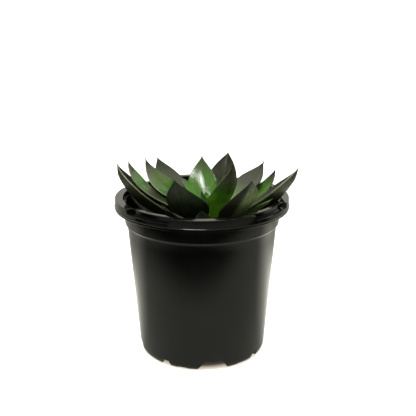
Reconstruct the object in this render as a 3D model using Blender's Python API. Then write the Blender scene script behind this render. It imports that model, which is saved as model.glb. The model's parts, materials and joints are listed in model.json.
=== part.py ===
"""A potted echeveria: a rosette of thick pointed leaves in a black plastic nursery pot.

Metres, +Z up. The pot stands on z = 0, and the origin is the middle of the footprint
of the whole object. An azimuth is in degrees about the vertical, 0 towards -Y (the
front) and positive towards +X (the right).
"""

from collections import namedtuple
from math import cos, pi, radians, sin, sqrt

import bmesh
import bpy
from mathutils import Vector

MM = 0.001
GAP = 0.3 * MM

# The pot is a standard 130 mm nursery pot with a flat lip and a straight skirt.
POT_HEIGHT = 121.0 * MM
RIM_RADIUS = 65.0 * MM
RIM_INNER_RADIUS = 59.1 * MM
RIM_ROUNDING = 0.8 * MM
SKIRT_HEIGHT = 8.0 * MM
SKIRT_FLARE = 0.3 * MM
SKIRT_THICKNESS = 1.5 * MM
BEAD_HEIGHT = 2.0 * MM
BEAD_SIZE = 0.35 * MM
GROOVE_DEPTH = 2.8 * MM
COLLAR_TOP_RADIUS = 59.0 * MM
COLLAR_RADIUS = 58.0 * MM
COLLAR_DROP = 19.0 * MM
STEP_RADIUS = 56.4 * MM
STEP_HEIGHT = 1.2 * MM
WALL_THICKNESS = 1.4 * MM
FOOT_RADIUS = 45.0 * MM
FOOT_WALL_RADIUS = 48.5 * MM
FOOT_HEIGHT = 5.5 * MM
FOOT_STEPS = 3
FOOT_THICKNESS = 1.5 * MM
FLOOR_HEIGHT = 8.8 * MM
FLOOR_THICKNESS = 1.6 * MM
FLOOR_CORNER = 2.0 * MM
POT_SEGMENTS = 72

# What is moulded into the rim and the foot repeats at each quarter turn. A notch has
# its arc in degrees at the bottom, its arc at the top, and its height.
QUARTERS = [0.0, 90.0, 180.0, 270.0]
LARGE_NOTCH_AZIMUTH = 10.0
MEDIUM_NOTCH_AZIMUTH = 55.5
SHALLOW_NOTCH_OFFSET = 28.0
LARGE_NOTCH = (29.0, 16.0, 7.4 * MM)
MEDIUM_NOTCH = (11.0, 8.0, 4.8 * MM)
SHALLOW_NOTCH = (11.0, 7.0, 1.5 * MM)
RECESS_AZIMUTH = 53.0
RECESS_ARC = 35.0
RECESS_DEPTH = 3.3 * MM
RECESS_WIDTH = 4.4 * MM
# Behind each recess the lip bulges inwards, so that its wall keeps its thickness.
BULGE_WIDTH = 2.3 * MM
BULGE_DEPTH = 2.0 * MM
BULGE_SLOPE = 3.0 * MM
BULGE_TOP_DROP = 0.2 * MM
SECTOR_STEPS = 8
DRAIN_RADIUS = 3.5 * MM
DRAIN_CIRCLE_RADIUS = 36.0 * MM
DRAIN_COUNT = 8
DRAIN_SEGMENTS = 12

# The far right leaf reaches past the rim, so the pot stands left of the origin,
# and the plant stands a little right of the pot's middle.
POT_X = -2.8 * MM
PLANT_X = POT_X + 4.5 * MM

SOIL_TOP = 92.6 * MM
SOIL_MOUND = 1.0 * MM
SOIL_LUMP = 0.5 * MM
SOIL_SEGMENTS = 36
SOIL_RINGS = 5
STEM_HOLE_RADIUS = 8.6 * MM
STEM_SEGMENTS = 16

# Height and radius of the stem: a thick stub that narrows to the growing point.
STEM_PROFILE = [(58.0, 6.0), (88.0, 7.5), (95.0, 8.2), (100.0, 8.4),
                (104.0, 8.0), (107.0, 7.2), (110.0, 5.8), (112.0, 4.6)]
ROOT_CLEARANCE = 0.6 * MM

# A leaf's section has this many points on the upper face and as many on the lower.
FACE_POINTS = 5
LEAF_RINGS = 11
STEPS_PER_RING = 8
LEAF_EDGE = 0.7 * MM
MIDRIB_ROUNDING = 0.2
ROOT_THICKNESS = 0.62
TIP_THINNING = 0.62
TIP_WIDTH = 0.03

# Angles are in degrees and lengths in millimetres. The azimuth and the rise are the
# leaf's direction at its root, turn is how far it swings sideways by the tip, and
# height is its root's height. Bend says how late it curves upwards. Neck is its width
# at the root, widest is the place of the greatest width along it, and a waist above 1
# keeps it slim below that. Taper above 1 makes its tip slimmer. Fold is how steeply
# the halves rise from the midrib.
Leaf = namedtuple("Leaf", "name azimuth turn rise tip_rise length width thick height"
                          " roll bend neck fold widest waist taper")
LARGE_LEAVES = [
    Leaf("leaf_far_left", -85.3, -7.5, 24.3, 86.4, 78, 24.3, 5.2, 98.7,
         7.7, 3.1, 5.5, 0.52, 0.72, 1.15, 1.13),
    Leaf("leaf_left", -90.8, -1.3, 22.8, 88.2, 69.6, 20.1, 3.8, 105.0,
         -4.8, 2.7, 5.5, 0.20, 0.74, 1.15, 1.21),
    Leaf("leaf_left_back", -117.3, -2.3, 18.4, 77, 62.1, 25.3, 3.6, 108.8,
         -3.6, 2.3, 5.5, 0.28, 0.50, 1.15, 1.25),
    Leaf("leaf_back_left", -145, 8, 22.5, 64, 69.5, 24, 4.2, 101.0,
         0, 3.0, 5.5, 0.22, 0.66, 1.15, 1.12),
    Leaf("leaf_inner_left", -104, 0, 46, 64, 26, 15, 3.0, 113.5,
         0, 2.0, 5.0, 0.26, 0.56, 1.0, 1.12),
    Leaf("leaf_front_left", -32.5, -3.5, 33.5, 78, 52.5, 30.6, 4.6, 102.6,
         23, 1.8, 11.0, 0.26, 0.40, 0.9, 1.03),
    Leaf("leaf_center_back", -166.5, -17, 42.4, 69, 46, 22.4, 4.4, 106.8,
         -12, 1.6, 6.0, 0.24, 0.50, 0.8, 1.26),
    Leaf("leaf_back_right", 165.3, -5, 28, 58.7, 64, 24.2, 4.2, 100.6,
         5.5, 1.5, 6.0, 0.22, 0.56, 1.15, 1.0),
    Leaf("leaf_front_center", 45.7, -33, 57, 67.5, 48.4, 26.4, 4.6, 108.4,
         15.5, 3.1, 15.9, 0.25, 0.37, 0.9, 1.57),
    Leaf("leaf_right_back", 131, 0.4, 22.8, 55.7, 60.3, 22.3, 4.0, 107.1,
         3.3, 2.9, 5.5, 0.22, 0.64, 1.15, 1.47),
    Leaf("leaf_right_small", 115, 0, 18.5, 73, 61, 17.1, 3.6, 102.0,
         0, 2.5, 5.0, 0.26, 0.60, 1.15, 1.03),
    Leaf("leaf_far_right", 86.3, -9.2, 25.7, 71.6, 74.5, 20.3, 6.1, 99.9,
         -3, 2.8, 6.4, 0.59, 0.65, 1.27, 1.06),
    Leaf("leaf_front_right", 42, -4.4, 27.5, 83.4, 57.2, 33, 5.0, 101.4,
         3.4, 1.9, 7.8, 0.24, 0.56, 0.98, 1.08),
]
LOW_LEAVES = [
    Leaf("leaf_low_right", 65, 0, 26.3, 42.6, 50.2, 10.8, 3.0, 97.1,
         -17, 1.5, 4.5, 0.26, 0.73, 1.15, 1.12),
    Leaf("leaf_low_front", -6, 0, 26, 48, 41, 13, 3.2, 98.0,
         0, 1.5, 5.0, 0.28, 0.56, 1.15, 1.12),
    Leaf("leaf_low_left", -90, 0, 9, 66, 59, 16, 3.6, 96.6,
         0, 2.0, 5.0, 0.28, 0.60, 1.15, 1.12),
    Leaf("leaf_low_back", -170, 0, 12, 46, 50, 19, 3.8, 97.5,
         0, 2.0, 5.0, 0.26, 0.60, 1.15, 1.12),
    Leaf("leaf_low_front_right", 29, 0, 8, 34, 42, 13, 3.2, 97.0,
         0, 2.0, 5.0, 0.26, 0.60, 1.15, 1.12),
    Leaf("leaf_low_back_left", -124, 0, 6, 28, 46, 16, 3.4, 97.0,
         0, 2.0, 5.0, 0.26, 0.60, 1.15, 1.12),
    Leaf("leaf_low_back_right", 140, 0, 8, 40, 44, 16, 3.4, 97.0,
         0, 2.0, 5.0, 0.26, 0.60, 1.15, 1.12),
]
DRY_LEAVES = [
    Leaf("leaf_dry_front_left", -53, 0, 21, 60, 41, 12, 3.0, 96.8,
         0, 1.5, 4.5, 0.28, 0.60, 1.15, 1.12),
]
# The young leaves stand on a small dome, with their roots inside it.
BUD_LEAVES = [
    Leaf("young_1", 75, 0, 66, 80, 27, 10, 3.0, 113.6, 0, 1.5, 5.0, 0.34, 0.50, 0.9, 1.12),
    Leaf("young_2", 122, 0, 64, 80, 21, 9, 3.0, 113.6, 0, 1.5, 5.0, 0.34, 0.50, 0.9, 1.12),
    Leaf("young_3", -50, 0, 66, 80, 12, 6, 2.6, 113.6, 0, 1.5, 4.5, 0.34, 0.50, 0.9, 1.12),
    Leaf("young_4", -165, 0, 58, 80, 9, 6, 2.6, 113.6, 0, 1.5, 4.5, 0.34, 0.50, 0.9, 1.12),
    Leaf("young_5", 10, 0, 62, 80, 8, 6, 2.4, 113.8, 0, 1.5, 4.0, 0.34, 0.50, 0.9, 1.12),
]
BUD_ROOT_RADIUS = 2.2 * MM
BUD_PROFILE = [(0.3, 4.2), (1.4, 4.4), (3.2, 3.8), (4.8, 2.6), (5.8, 1.2)]

# Colour, roughness and metallic value of each material.
FINISHES = {
    "black_plastic": ((0.012, 0.012, 0.012, 1.0), 0.35, 0.0),
    "leaf_green": ((0.045, 0.085, 0.025, 1.0), 0.30, 0.0),
    "young_leaf_green": ((0.060, 0.160, 0.030, 1.0), 0.30, 0.0),
    "dry_leaf_brown": ((0.060, 0.042, 0.028, 1.0), 0.60, 0.0),
    "stem_brown": ((0.090, 0.070, 0.040, 1.0), 0.70, 0.0),
    "potting_mix": ((0.030, 0.020, 0.014, 1.0), 0.95, 0.0),
}


def remove_everything():
    for item in list(bpy.data.objects):
        bpy.data.objects.remove(item, do_unlink=True)


def finish(name):
    """A material of its own for one object, with the named finish."""
    colour, roughness, metallic = FINISHES[name]
    material = bpy.data.materials.new(name)
    material.use_nodes = True
    shader = material.node_tree.nodes["Principled BSDF"]
    shader.inputs["Base Color"].default_value = colour
    shader.inputs["Roughness"].default_value = roughness
    shader.inputs["Metallic"].default_value = metallic
    return material


def add_empty(name, x):
    empty = bpy.data.objects.new(name, None)
    empty.location = (x, 0.0, 0.0)
    bpy.context.collection.objects.link(empty)
    return empty


def add_object(name, bm, parent, finish_name, sharp_angle=35.0):
    """Turn a bmesh into a smooth shaded object under a parent."""
    bmesh.ops.recalc_face_normals(bm, faces=bm.faces)
    mesh = bpy.data.meshes.new(name)
    bm.to_mesh(mesh)
    bm.free()
    mesh.shade_smooth()
    mesh.set_sharp_from_angle(angle=radians(sharp_angle))
    mesh.materials.append(finish(finish_name))
    item = bpy.data.objects.new(name, mesh)
    item.parent = parent
    bpy.context.collection.objects.link(item)
    return item


def bake_modifiers(item):
    """Replace an object's mesh by its evaluated one and drop the modifiers."""
    bpy.context.view_layer.update()
    evaluated = item.evaluated_get(bpy.context.evaluated_depsgraph_get())
    mesh = bpy.data.meshes.new_from_object(evaluated)
    item.modifiers.clear()
    item.data = mesh


def combine(item, others, operation):
    """Boolean an object with others, which are removed afterwards."""
    group = bpy.data.collections.new(item.name + "_operands")
    bpy.context.scene.collection.children.link(group)
    for other in others:
        group.objects.link(other)
    boolean = item.modifiers.new(operation.lower(), "BOOLEAN")
    boolean.operation = operation
    boolean.operand_type = "COLLECTION"
    boolean.collection = group
    boolean.solver = "EXACT"
    bake_modifiers(item)
    for other in others:
        bpy.data.objects.remove(other, do_unlink=True)
    bpy.data.collections.remove(group)


def direction(azimuth, rise=0.0):
    """Unit vector for an azimuth and a rise, both in radians."""
    level = cos(rise)
    return Vector((sin(azimuth) * level, -cos(azimuth) * level, sin(rise)))


def interpolate(points, x):
    """Piecewise linear value at x of a list of (x, value)."""
    if x <= points[0][0]:
        return points[0][1]
    for (x0, y0), (x1, y1) in zip(points, points[1:]):
        if x <= x1:
            return y0 + (y1 - y0) * (x - x0) / (x1 - x0)
    return points[-1][1]


def circle(radius, z, segments, centre=0.0):
    points = []
    for index in range(segments):
        spot = direction(2 * pi * index / segments) * radius
        points.append(Vector((centre + spot.x, spot.y, z)))
    return points


def skin(rings):
    """A closed body through rings of equal point counts, with a flat cap at each end."""
    bm = bmesh.new()
    loops = [[bm.verts.new(point) for point in ring] for ring in rings]
    count = len(loops[0])
    for lower, upper in zip(loops, loops[1:]):
        for index in range(count):
            after = (index + 1) % count
            bm.faces.new((lower[index], lower[after], upper[after], upper[index]))
    bm.faces.new(loops[0])
    bm.faces.new(loops[-1])
    return bm


def turned(profile, segments):
    """A closed body turned from (radius, z) pairs that start and end off the axis."""
    return skin([circle(radius, z, segments) for radius, z in profile])


def wall_radius(z):
    """Outer radius of the tapering wall, from the foot to the step."""
    step_z = POT_HEIGHT - COLLAR_DROP
    return interpolate([(FOOT_HEIGHT, FOOT_WALL_RADIUS), (step_z, STEP_RADIUS)], z)


def pot_profile():
    """The pot's section, from the middle of the floor up inside and down outside."""
    top = POT_HEIGHT
    skirt_z = top - SKIRT_HEIGHT
    step_z = top - COLLAR_DROP
    bead_z = skirt_z + BEAD_HEIGHT
    floor_z = FLOOR_HEIGHT + FLOOR_THICKNESS
    skirt_radius = RIM_RADIUS + SKIRT_FLARE
    centre = 3.0 * MM
    inside = [
        (centre, floor_z),
        (wall_radius(floor_z) - WALL_THICKNESS - FLOOR_CORNER, floor_z),
        (wall_radius(floor_z) - WALL_THICKNESS, floor_z + FLOOR_CORNER),
        (STEP_RADIUS - WALL_THICKNESS, step_z - STEP_HEIGHT),
        (COLLAR_RADIUS - WALL_THICKNESS, step_z + STEP_HEIGHT),
        (COLLAR_TOP_RADIUS - WALL_THICKNESS, skirt_z + GROOVE_DEPTH),
        (RIM_INNER_RADIUS, top - RIM_ROUNDING),
        (RIM_INNER_RADIUS + RIM_ROUNDING, top),
    ]
    skirt = [
        (RIM_RADIUS - RIM_ROUNDING, top),
        (RIM_RADIUS, top - RIM_ROUNDING),
        (skirt_radius - SKIRT_FLARE / 3, bead_z + BEAD_SIZE),
        (skirt_radius + BEAD_SIZE, bead_z),
        (skirt_radius - SKIRT_FLARE / 4, bead_z - BEAD_SIZE),
        (skirt_radius, skirt_z),
        (skirt_radius - SKIRT_THICKNESS, skirt_z),
        (skirt_radius - SKIRT_THICKNESS, skirt_z + GROOVE_DEPTH),
        (COLLAR_TOP_RADIUS, skirt_z + GROOVE_DEPTH),
    ]
    outside = [
        (COLLAR_RADIUS, step_z),
        (STEP_RADIUS, step_z - STEP_HEIGHT),
    ]
    under = [
        (FOOT_RADIUS - FOOT_THICKNESS, 0.0),
        (FOOT_WALL_RADIUS - FOOT_THICKNESS, FOOT_HEIGHT),
        (wall_radius(FLOOR_HEIGHT) - FOOT_THICKNESS, FLOOR_HEIGHT),
        (centre, FLOOR_HEIGHT),
    ]
    return inside + skirt + outside + foot_curve() + under


def foot_curve():
    """Quarter ellipse from the bottom of the wall down to the flat of the foot."""
    points = []
    for step in range(FOOT_STEPS + 1):
        angle = pi / 2 * step / FOOT_STEPS
        radius = FOOT_RADIUS + (FOOT_WALL_RADIUS - FOOT_RADIUS) * cos(angle)
        points.append((radius, FOOT_HEIGHT * (1 - sin(angle))))
    return points


def sector(name, azimuth, section, parent):
    """A closed body round part of a ring. Its section lists arc, radius and height."""
    rings = []
    for step in range(SECTOR_STEPS + 1):
        share = step / SECTOR_STEPS - 0.5
        ring = []
        for arc, radius, height in section:
            out = direction(radians(azimuth + arc * share))
            ring.append(out * radius + Vector((0.0, 0.0, height)))
        rings.append(ring)
    return guide(name, skin(rings), parent)


def guide(name, bm, parent):
    """A shape that only serves to cut or fill another."""
    item = add_object(name, bm, parent, "black_plastic")
    item.hide_render = True
    item.display_type = "WIRE"
    return item


def block_section(arcs, radii, heights):
    """Four corners of a sector whose arc changes from its bottom to its top."""
    low_arc, high_arc = arcs
    inner, outer = radii
    bottom, top = heights
    return [(low_arc, inner, bottom), (low_arc, outer, bottom),
            (high_arc, outer, top), (high_arc, inner, top)]


def rim_recesses(parent):
    """Stacking recesses, cut from the outer corner of the lip."""
    radii = (RIM_RADIUS - RECESS_WIDTH, RIM_RADIUS + RECESS_WIDTH)
    heights = (POT_HEIGHT - RECESS_DEPTH, POT_HEIGHT + RECESS_DEPTH)
    section = block_section((RECESS_ARC, RECESS_ARC), radii, heights)
    return [sector("recess", RECESS_AZIMUTH + turn, section, parent) for turn in QUARTERS]


def rim_bulges(parent):
    """The lip's inward bulges behind the recesses, sloped below."""
    outer = RIM_INNER_RADIUS + RIM_ROUNDING
    inner = RIM_INNER_RADIUS - BULGE_WIDTH
    top = POT_HEIGHT - BULGE_TOP_DROP
    low = POT_HEIGHT - BULGE_DEPTH
    section = [(RECESS_ARC, outer, low - BULGE_SLOPE), (RECESS_ARC, outer, top),
               (RECESS_ARC, inner, top), (RECESS_ARC, inner, low)]
    return [sector("bulge", RECESS_AZIMUTH + turn, section, parent) for turn in QUARTERS]


def foot_notches(parent):
    """Large, medium and shallow notches through the foot ring."""
    inner = FOOT_RADIUS - 3 * FOOT_THICKNESS
    radii = (inner, FOOT_WALL_RADIUS + 2 * FOOT_THICKNESS)
    kinds = [
        (LARGE_NOTCH_AZIMUTH, LARGE_NOTCH),
        (MEDIUM_NOTCH_AZIMUTH, MEDIUM_NOTCH),
        (LARGE_NOTCH_AZIMUTH - SHALLOW_NOTCH_OFFSET, SHALLOW_NOTCH),
        (LARGE_NOTCH_AZIMUTH + SHALLOW_NOTCH_OFFSET, SHALLOW_NOTCH),
    ]
    notches = []
    for turn in QUARTERS:
        for azimuth, (bottom_arc, top_arc, height) in kinds:
            heights = (-FOOT_HEIGHT, height)
            # The sides slope, and below the ground they go on at the same slope.
            widening = (bottom_arc - top_arc) * FOOT_HEIGHT / height
            section = block_section((bottom_arc + widening, top_arc), radii, heights)
            notches.append(sector("notch", azimuth + turn, section, parent))
    return notches


def drain_holes(parent):
    """Round holes through the pot's floor, one of them in the middle."""
    spots = [Vector((0.0, 0.0, 0.0))]
    for index in range(DRAIN_COUNT):
        azimuth = radians(LARGE_NOTCH_AZIMUTH) + 2 * pi * index / DRAIN_COUNT
        spots.append(direction(azimuth) * DRAIN_CIRCLE_RADIUS)
    holes = []
    for spot in spots:
        profile = [(DRAIN_RADIUS, FLOOR_HEIGHT - FLOOR_THICKNESS),
                   (DRAIN_RADIUS, FLOOR_HEIGHT + 2 * FLOOR_THICKNESS)]
        hole = guide("drain", turned(profile, DRAIN_SEGMENTS), parent)
        hole.location = spot
        holes.append(hole)
    return holes


def make_pot(parent):
    pot = add_object("pot", turned(pot_profile(), POT_SEGMENTS), parent, "black_plastic")
    combine(pot, rim_bulges(parent), "UNION")
    cutters = rim_recesses(parent) + foot_notches(parent) + drain_holes(parent)
    combine(pot, cutters, "DIFFERENCE")
    return pot


def soil_height(x, y):
    """Top of the potting mix: a slight mound with broad shallow lumps."""
    reach = sqrt(x * x + y * y) / COLLAR_RADIUS
    waves = sin(x / (5.3 * MM)) * cos(y / (6.1 * MM) + 0.8) + 0.6 * sin((x + 2 * y) / (8.7 * MM))
    return SOIL_TOP + SOIL_MOUND * (1 - reach * reach) + SOIL_LUMP * waves


def make_soil(parent):
    """Potting mix that fills the pot, with a plain hole for the stem."""
    floor_z = FLOOR_HEIGHT + FLOOR_THICKNESS + GAP
    clearance = WALL_THICKNESS + GAP
    corner_z = floor_z + FLOOR_CORNER
    edge = wall_radius(SOIL_TOP) - clearance
    hole_x = PLANT_X - POT_X
    rings = [
        circle(wall_radius(floor_z) - clearance - FLOOR_CORNER, floor_z, SOIL_SEGMENTS),
        circle(wall_radius(corner_z) - clearance, corner_z, SOIL_SEGMENTS),
    ]
    for index in range(SOIL_RINGS + 1):
        share = index / SOIL_RINGS
        radius = edge + (STEM_HOLE_RADIUS - edge) * share
        ring = circle(radius, SOIL_TOP, SOIL_SEGMENTS, hole_x * share)
        for point in ring:
            point.z = soil_height(point.x, point.y)
        rings.append(ring)
    hole_bottom = STEM_PROFILE[0][0] * MM - GAP
    rings.append(circle(STEM_HOLE_RADIUS, hole_bottom, SOIL_SEGMENTS, hole_x))
    return add_object("soil", skin(rings), parent, "potting_mix")


def stem_radius(height):
    """Radius of the stem in metres at a height in millimetres."""
    return interpolate(STEM_PROFILE, height) * MM


def make_stem(parent):
    profile = [(radius * MM, height * MM) for height, radius in STEM_PROFILE]
    return add_object("stem", turned(profile, STEM_SEGMENTS), parent, "stem_brown")


def leaf_width(leaf, share):
    """Half width of a leaf in metres at a share of its length."""
    neck = leaf.neck / leaf.width
    if share < leaf.widest:
        along = share / leaf.widest
        swell = (along * along * (3 - 2 * along)) ** leaf.waist
        part = neck + (1 - neck) * swell
    else:
        along = (share - leaf.widest) / (1 - leaf.widest)
        part = max((1 - along) ** leaf.taper * (1 + leaf.taper * along), TIP_WIDTH)
    return part * leaf.width * MM / 2


def leaf_thickness(leaf, share):
    """Thickness at the midrib in metres at a share of the leaf's length."""
    swell = sin(pi * min(share / 0.8, 1.0))
    part = ROOT_THICKNESS + (1 - ROOT_THICKNESS) * swell
    part *= 1 - TIP_THINNING * max(0.0, (share - 0.45) / 0.55) ** 1.5
    slimming = min(1.0, 0.15 + 1.6 * leaf_width(leaf, share) * 2 / (leaf.width * MM))
    return max(part * slimming * leaf.thick * MM, LEAF_EDGE)


def leaf_stations(leaf):
    """Centre, direction and side of the leaf at each ring, in the leaf's own frame."""
    steps = (LEAF_RINGS - 1) * STEPS_PER_RING
    centre = Vector((0.0, 0.0, 0.0))
    stations = []
    for step in range(steps + 1):
        share = step / steps
        azimuth = radians(leaf.turn) * share
        rise = radians(leaf.rise + (leaf.tip_rise - leaf.rise) * share ** leaf.bend)
        along = direction(azimuth, rise)
        side = Vector((cos(azimuth), sin(azimuth), 0.0))
        if step % STEPS_PER_RING == 0:
            stations.append((share, centre.copy(), along, side))
        centre += along * leaf.length * MM / steps
    return stations


def leaf_ring(leaf, share, centre, along, side):
    """Section of the leaf: the upper face from one edge to the other, then the lower."""
    up = along.cross(side)
    roll = radians(leaf.roll) * sqrt(share)
    across = side * cos(roll) + up * sin(roll)
    up = up * cos(roll) - side * sin(roll)
    half = leaf_width(leaf, share)
    thick = leaf_thickness(leaf, share)
    fold = leaf.fold * min(1.0, 0.35 + 1.6 * share)
    upper = []
    lower = []
    for index in range(FACE_POINTS):
        place = 2 * index / (FACE_POINTS - 1) - 1
        lift = fold * half * (sqrt(place * place + MIDRIB_ROUNDING ** 2) - MIDRIB_ROUNDING)
        depth = LEAF_EDGE + (thick - LEAF_EDGE) * (1 - place * place)
        spot = centre + across * place * half
        upper.append(spot + up * lift)
        lower.append(spot + up * (lift - depth))
    return upper + lower[::-1]


def leaf_mesh(leaf):
    """A closed leaf, split into triangles alike on its upper and its lower face."""
    bm = bmesh.new()
    rings = [[bm.verts.new(point) for point in leaf_ring(leaf, *station)]
             for station in leaf_stations(leaf)]
    count = 2 * FACE_POINTS
    for lower, upper in zip(rings, rings[1:]):
        for index in range(count):
            after = (index + 1) % count
            a, b, c, d = lower[index], lower[after], upper[after], upper[index]
            if index < FACE_POINTS:
                triangles = ((a, b, c), (a, c, d))
            else:
                triangles = ((a, b, d), (b, c, d))
            for triangle in triangles:
                bm.faces.new(triangle)
    for ring in (rings[0], rings[-1]):
        for index in range(FACE_POINTS - 1):
            opposite = count - 1 - index
            bm.faces.new((ring[index], ring[index + 1], ring[opposite - 1], ring[opposite]))
    return bm


def add_leaf(leaf, parent, finish_name, root_radius=None):
    """Place a leaf with its root just clear of the stem."""
    if root_radius is None:
        root_radius = stem_radius(leaf.height) + ROOT_CLEARANCE
    item = add_object(leaf.name, leaf_mesh(leaf), parent, finish_name)
    azimuth = radians(leaf.azimuth)
    item.location = direction(azimuth) * root_radius + Vector((0.0, 0.0, leaf.height * MM))
    item.rotation_euler = (0.0, 0.0, azimuth)
    return item


def make_crown_bud(parent):
    """Young leaves fused to a small dome on top of the stem."""
    base = STEM_PROFILE[-1][0]
    profile = [(radius * MM, (base + lift) * MM) for lift, radius in BUD_PROFILE]
    bud = add_object("crown_bud", turned(profile, STEM_SEGMENTS), parent, "young_leaf_green")
    young = [add_leaf(leaf, parent, "young_leaf_green", BUD_ROOT_RADIUS) for leaf in BUD_LEAVES]
    combine(bud, young, "UNION")
    return bud


def main():
    remove_everything()
    pot_axis = add_empty("pot_axis", POT_X)
    plant_axis = add_empty("plant_axis", PLANT_X)
    make_pot(pot_axis)
    make_soil(pot_axis)
    make_stem(plant_axis)
    for leaf in LARGE_LEAVES + LOW_LEAVES:
        add_leaf(leaf, plant_axis, "leaf_green")
    for leaf in DRY_LEAVES:
        add_leaf(leaf, plant_axis, "dry_leaf_brown")
    make_crown_bud(plant_axis)


main()
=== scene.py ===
"""A potted echeveria in soft studio light: the looks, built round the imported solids.

Metres, +Z up, -Y is the front. An azimuth is an angle about the vertical, 0 towards -Y and
positive towards +X. The tables give angles in degrees.
"""

import json
import random
from collections import namedtuple
from math import cos, pi, radians, sin, sqrt

import bmesh
import bpy
from mathutils import Matrix, Vector, noise

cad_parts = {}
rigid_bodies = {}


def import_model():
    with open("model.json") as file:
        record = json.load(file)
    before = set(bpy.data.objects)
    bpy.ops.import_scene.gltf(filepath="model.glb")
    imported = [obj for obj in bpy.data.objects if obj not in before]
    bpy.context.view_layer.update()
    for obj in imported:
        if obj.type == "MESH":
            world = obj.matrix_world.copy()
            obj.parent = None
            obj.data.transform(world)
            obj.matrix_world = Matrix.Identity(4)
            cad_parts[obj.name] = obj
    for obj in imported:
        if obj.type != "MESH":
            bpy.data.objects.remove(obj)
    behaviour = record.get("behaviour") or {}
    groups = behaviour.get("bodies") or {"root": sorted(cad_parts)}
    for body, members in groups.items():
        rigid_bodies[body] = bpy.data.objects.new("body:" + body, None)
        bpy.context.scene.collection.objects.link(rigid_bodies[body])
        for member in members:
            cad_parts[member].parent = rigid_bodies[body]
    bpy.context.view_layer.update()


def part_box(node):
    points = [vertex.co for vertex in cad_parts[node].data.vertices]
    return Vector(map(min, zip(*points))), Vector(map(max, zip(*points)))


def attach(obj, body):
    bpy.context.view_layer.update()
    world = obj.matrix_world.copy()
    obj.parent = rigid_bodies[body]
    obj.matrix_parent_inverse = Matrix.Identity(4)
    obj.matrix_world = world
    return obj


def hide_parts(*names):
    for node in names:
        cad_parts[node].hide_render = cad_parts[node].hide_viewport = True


for item in list(bpy.data.objects):
    bpy.data.objects.remove(item, do_unlink=True)

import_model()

MM = 0.001
BODY = "root"

# The photograph's frame, and the camera that it was taken with.
PHOTO_SIZE = 416
FOCAL_PIXELS = 754.0
SENSOR_WIDTH = 36.0
CAMERA_DISTANCE = 0.545
CAMERA_HEIGHT = 0.274
CAMERA_PITCH = 16.67

# Sizes of the pot, as the solid has them.
POT_HEIGHT = 121.0 * MM
RIM_RADIUS = 65.0 * MM
RIM_INNER_RADIUS = 59.1 * MM
SKIRT_HEIGHT = 8.0 * MM
SKIRT_FLARE = 0.3 * MM
SKIRT_THICKNESS = 1.5 * MM
BEAD_HEIGHT = 2.0 * MM
BEAD_SIZE = 0.35 * MM
GROOVE_DEPTH = 2.8 * MM
COLLAR_TOP_RADIUS = 59.0 * MM
COLLAR_RADIUS = 58.0 * MM
COLLAR_DROP = 19.0 * MM
STEP_RADIUS = 56.4 * MM
STEP_HEIGHT = 1.2 * MM
WALL_THICKNESS = 1.4 * MM
FOOT_RADIUS = 45.0 * MM
FOOT_WALL_RADIUS = 48.5 * MM
FOOT_HEIGHT = 5.5 * MM
FOOT_THICKNESS = 1.5 * MM
FLOOR_HEIGHT = 8.8 * MM
FLOOR_THICKNESS = 1.6 * MM
FLOOR_CORNER = 2.0 * MM
QUARTERS = [0.0, 90.0, 180.0, 270.0]
LARGE_NOTCH_AZIMUTH = 10.0
MEDIUM_NOTCH_AZIMUTH = 55.5
SHALLOW_NOTCH_OFFSET = 28.0
LARGE_NOTCH = (29.0, 16.0, 7.4 * MM)
MEDIUM_NOTCH = (11.0, 8.0, 4.8 * MM)
SHALLOW_NOTCH = (11.0, 7.0, 1.5 * MM)
RECESS_AZIMUTH = 53.0
RECESS_ARC = 35.0
RECESS_DEPTH = 3.3 * MM
RECESS_WIDTH = 4.4 * MM
BULGE_WIDTH = 2.3 * MM
BULGE_DEPTH = 2.0 * MM
BULGE_SLOPE = 3.0 * MM
DRAIN_RADIUS = 3.5 * MM
DRAIN_CIRCLE_RADIUS = 36.0 * MM
DRAIN_COUNT = 8
GAP = 0.3 * MM

# How finely the pot is cut here, over how many degrees a recess ends, how its edges are
# rounded, and how its rows crowd towards the foot.
POT_STEPS = 480
WALL_ROWS = 14
DRAIN_STEPS = 40
RECESS_END = 0.8
AXIS_RADIUS = 1.0 * MM
INSIDE_ROUNDING = 0.8 * MM
RIM_EDGE_ROUNDING = 0.35 * MM
COLLAR_ROUNDING = 0.5 * MM
ROUNDED_SHARE = 0.45
LIP_WALL_INSET = 0.3 * MM
LIP_INSET = 1.5 * MM
FOOT_ZONE = 5.0 * MM
FOOT_CROWDING = 1.4
UNDER_HEIGHTS = [0.0, 1.5 * MM, 3.0 * MM, 5.0 * MM]
UNDER_CORNER = 0.8 * MM
MERGE_DISTANCE = 0.004 * MM

# The pot's middle comes from the frame, and the plant stands a little right of it.
PLANT_SHIFT = 4.5 * MM
pot_low, pot_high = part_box("pot")
POT_X = (pot_low.x + pot_high.x) / 2
PLANT_X = POT_X + PLANT_SHIFT

# The mix's lumps are two waves, one of them on a slant, and its crumbs a finer noise.
SOIL_TOP = 92.6 * MM
SOIL_MOUND = 1.0 * MM
SOIL_LUMP = 0.5 * MM
LUMP_WIDTH = 5.3 * MM
LUMP_DEPTH = 6.1 * MM
LUMP_SHIFT = 0.8
SLANTED_LUMP = 8.7 * MM
SLANTED_SHARE = 0.6
CRUMB_RELIEF = 0.7 * MM
CRUMB_SCALE = 420.0
CRUMB_NOISE = (0.9, 2.1, 4)
SOIL_ROWS = 60
SOIL_STEPS = 150
STEM_HOLE_RADIUS = 8.6 * MM
STEM_PROFILE = [(58.0, 6.0), (88.0, 7.5), (95.0, 8.2), (100.0, 8.4),
                (104.0, 8.0), (107.0, 7.2), (110.0, 5.8), (112.0, 4.6)]
ROOT_CLEARANCE = 0.6 * MM

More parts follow.
